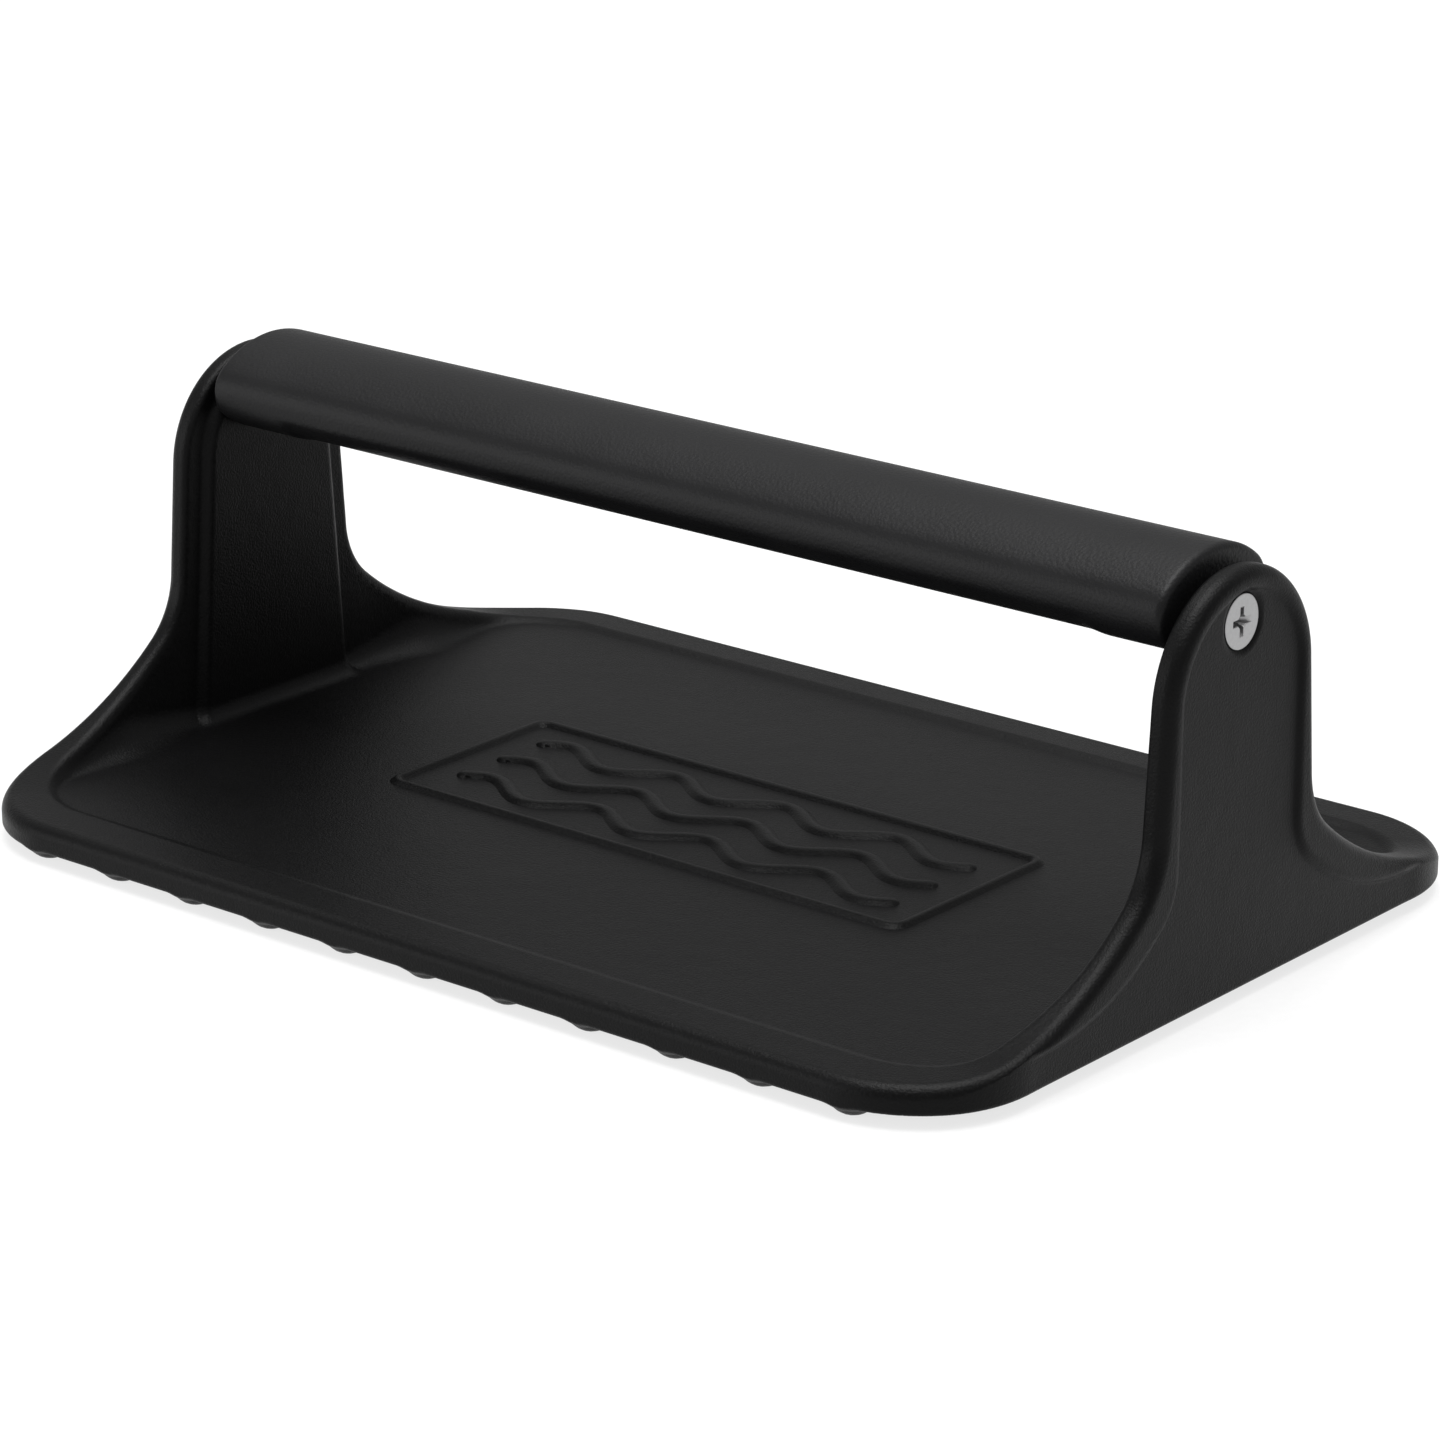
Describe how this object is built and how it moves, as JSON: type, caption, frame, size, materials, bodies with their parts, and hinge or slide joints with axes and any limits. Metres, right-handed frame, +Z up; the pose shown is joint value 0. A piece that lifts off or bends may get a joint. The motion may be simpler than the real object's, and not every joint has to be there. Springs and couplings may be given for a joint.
{
  "type": "bacon press",
  "caption": "Cast-iron grill press: a rectangular plate ribbed underneath, with a flared upright at each end and an oval insulated handle grip between them",
  "frame": {"origin": "middle of the plane that the press rests on, at the tips of the ribs", "axes": "+X along the handle grip, +Y across it, +Z up"},
  "size_m": [0.216, 0.152, 0.0755],
  "materials": {
    "black_cast_iron": "satin black seasoned coat over a fine sand-cast surface",
    "black_grip_plastic": "moulded black phenolic with a fine leather-like grain",
    "insert_brass": "plain turned",
    "screw_steel": "bright zinc-plated"
  },
  "bodies": {
    "root": {"press_casting": "black_cast_iron", "handle_grip": "black_grip_plastic", "insert_left": "insert_brass", "insert_right": "insert_brass", "screw_left": "screw_steel", "screw_right": "screw_steel"}
  },
  "joints": []
}
